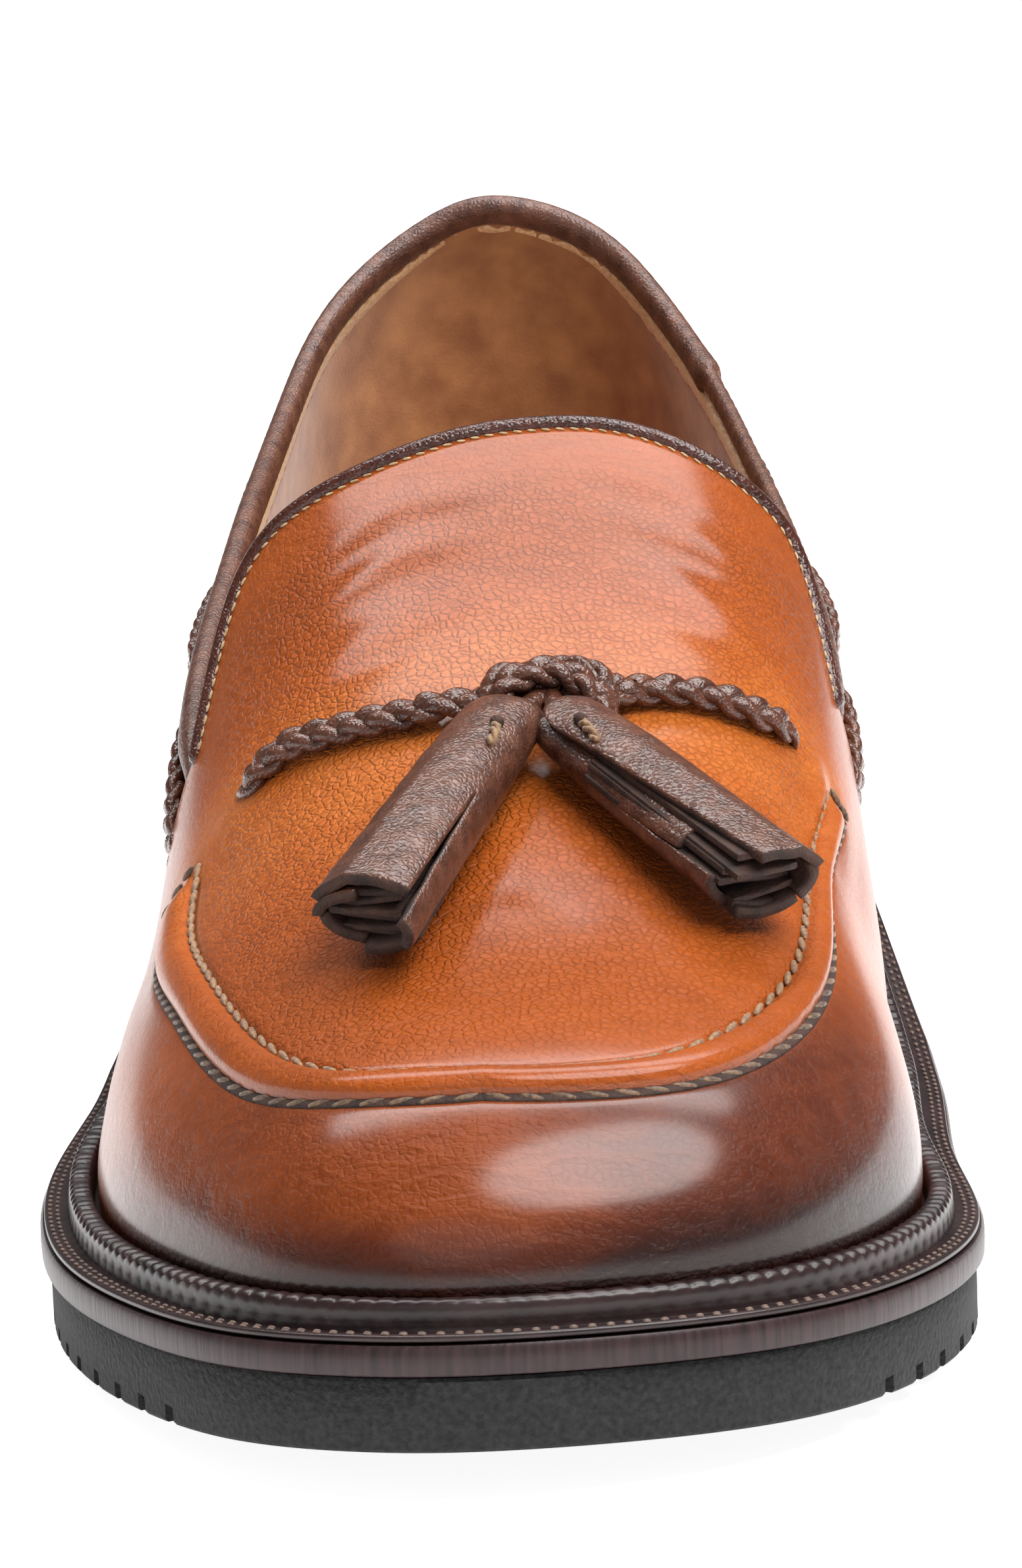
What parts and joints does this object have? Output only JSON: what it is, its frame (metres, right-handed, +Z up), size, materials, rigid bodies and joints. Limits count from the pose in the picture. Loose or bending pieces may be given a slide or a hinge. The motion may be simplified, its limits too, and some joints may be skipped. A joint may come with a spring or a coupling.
{
  "type": "tassel loafer",
  "caption": "Left slip-on loafer with raised apron seam, plaited lace with two leather tassels, storm welt and lugged rubber sole.",
  "frame": {"origin": "on the floor, under the middle of the sole's outline", "axes": "+Y towards the heel, toe towards -Y, +X towards the little-toe side, +Z up"},
  "size_m": [0.1086, 0.295, 0.1074],
  "materials": {
    "upper": "polished calf, cognac, burnished darker at the toe",
    "collar_binding": "matte dark brown binding",
    "tongue_piping": "dark brown piping, soft shine",
    "insole": "natural tan sock leather",
    "welt": "waxed dark brown welt",
    "midsole": "waxed dark brown leather midsole",
    "outsole": "matte charcoal rubber",
    "lace": "plaited waxed dark brown leather",
    "tassel": "pebbled dark brown leather"
  },
  "bodies": {
    "root": {"upper": "upper", "collar_binding": "collar_binding", "tongue_piping": "tongue_piping", "insole": "insole", "welt": "welt", "midsole": "midsole", "outsole": "outsole", "heel": "outsole", "lace_front_inner": "lace", "lace_front_outer": "lace", "knot": "lace", "tassel_inner": "tassel", "tassel_outer": "tassel", "lace_side_front_inner": "lace", "lace_side_front_outer": "lace", "lace_side_middle_inner": "lace", "lace_side_middle_outer": "lace", "lace_side_back_inner": "lace", "lace_side_back_outer": "lace"}
  },
  "joints": []
}
